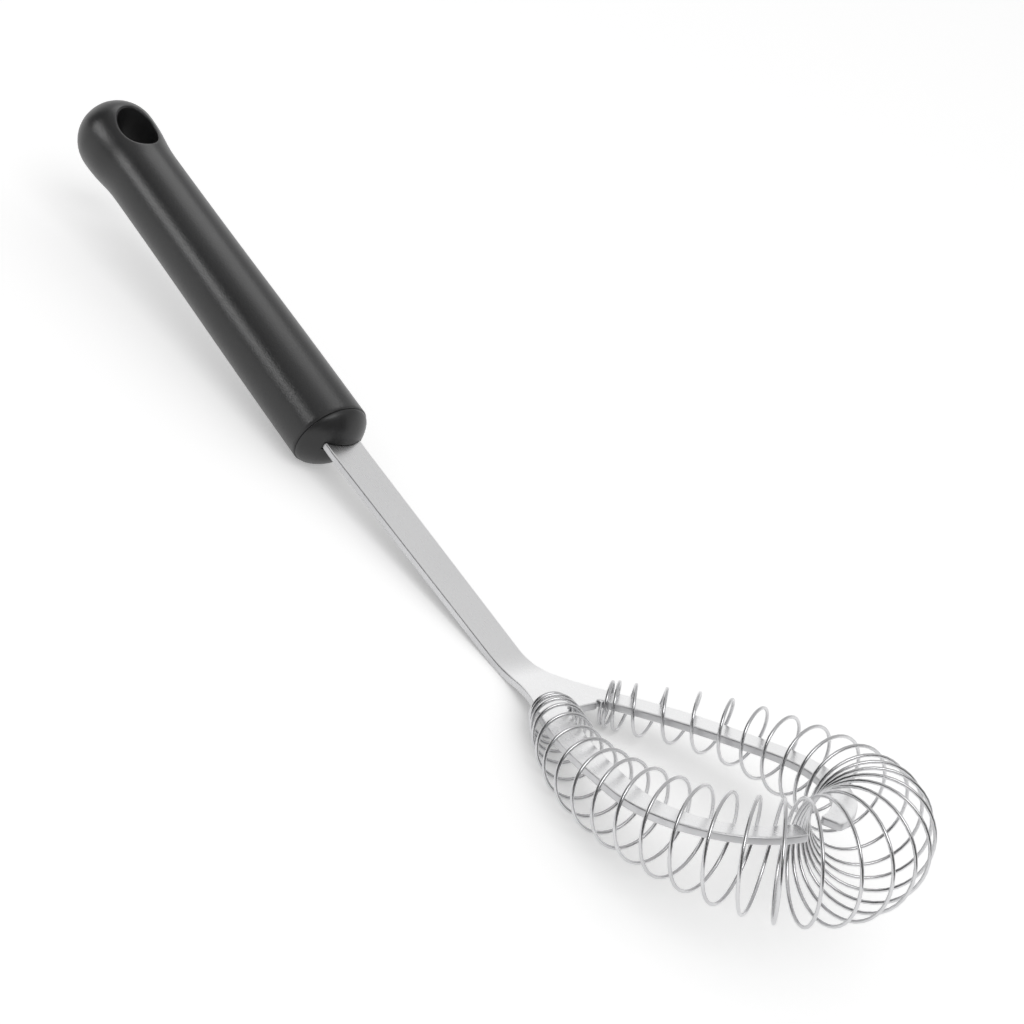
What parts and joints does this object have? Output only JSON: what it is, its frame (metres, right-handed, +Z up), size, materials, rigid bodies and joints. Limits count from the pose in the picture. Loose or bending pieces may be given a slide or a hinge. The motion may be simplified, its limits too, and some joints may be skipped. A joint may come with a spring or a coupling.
{
  "type": "flat whisk",
  "caption": "Flat whisk: round plastic grip with a hanging hole, bent steel shaft ending in an open fork, and a barrel-shaped coil spring wound round the prongs.",
  "frame": {"origin": "on the table under the middle of the whisk's bounding box, as it rests on the grip's front rim and the knee of the strip", "axes": "+X along the whisk towards the spring, +Y across the fork, +Z up from the table"},
  "size_m": [0.2918, 0.0654, 0.0409],
  "materials": {
    "grip": "fine-grained satin black moulding",
    "forked_strip": "satin stainless sheet with softened edges",
    "barrel_spring": "bright drawn stainless wire"
  },
  "bodies": {
    "root": {"grip": "grip", "forked_strip": "forked_strip", "barrel_spring": "barrel_spring"}
  },
  "joints": []
}
